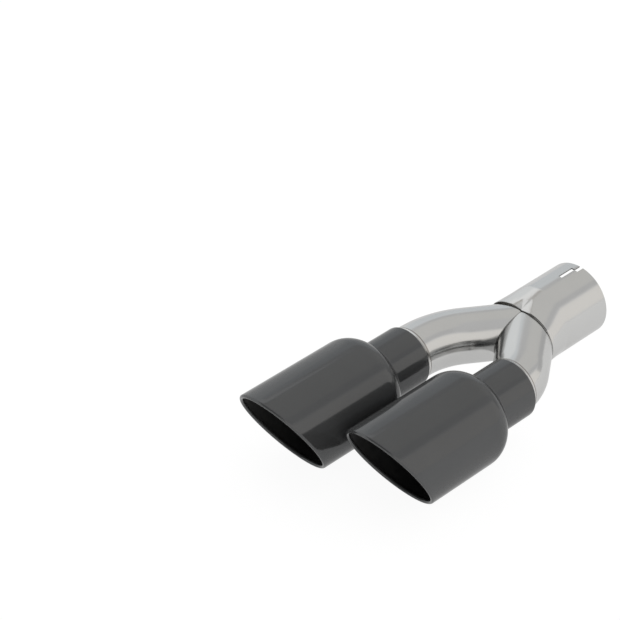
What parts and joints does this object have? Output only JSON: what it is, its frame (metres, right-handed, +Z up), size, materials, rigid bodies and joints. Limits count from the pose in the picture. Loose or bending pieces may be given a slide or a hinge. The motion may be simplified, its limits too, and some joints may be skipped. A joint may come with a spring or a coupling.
{
  "type": "exhaust tip",
  "caption": "Twin-outlet car exhaust tip: a slotted slip-on inlet and formed collector feed two bent branch pipes, each ending in a round, angle-cut tip with a drawn-down neck and a rolled lip",
  "frame": {"origin": "centre of the inlet's open end, on the inlet's axis", "axes": "+Y points out of the inlet's open end, +X towards the shorter branch (right-hand tip), +Z up, towards the side of the tips that reaches furthest back"},
  "size_m": [0.2112, 0.4026, 0.1016],
  "materials": {
    "stainless": "satin-polished stainless tube",
    "dark_chrome": "glossy dark chrome coating"
  },
  "bodies": {
    "root": {"inlet_collector": "stainless", "branch_pipe_left": "stainless", "branch_pipe_right": "stainless", "tip_left": "dark_chrome", "tip_right": "dark_chrome", "neck_weld_left": "stainless", "neck_weld_right": "stainless"}
  },
  "joints": []
}
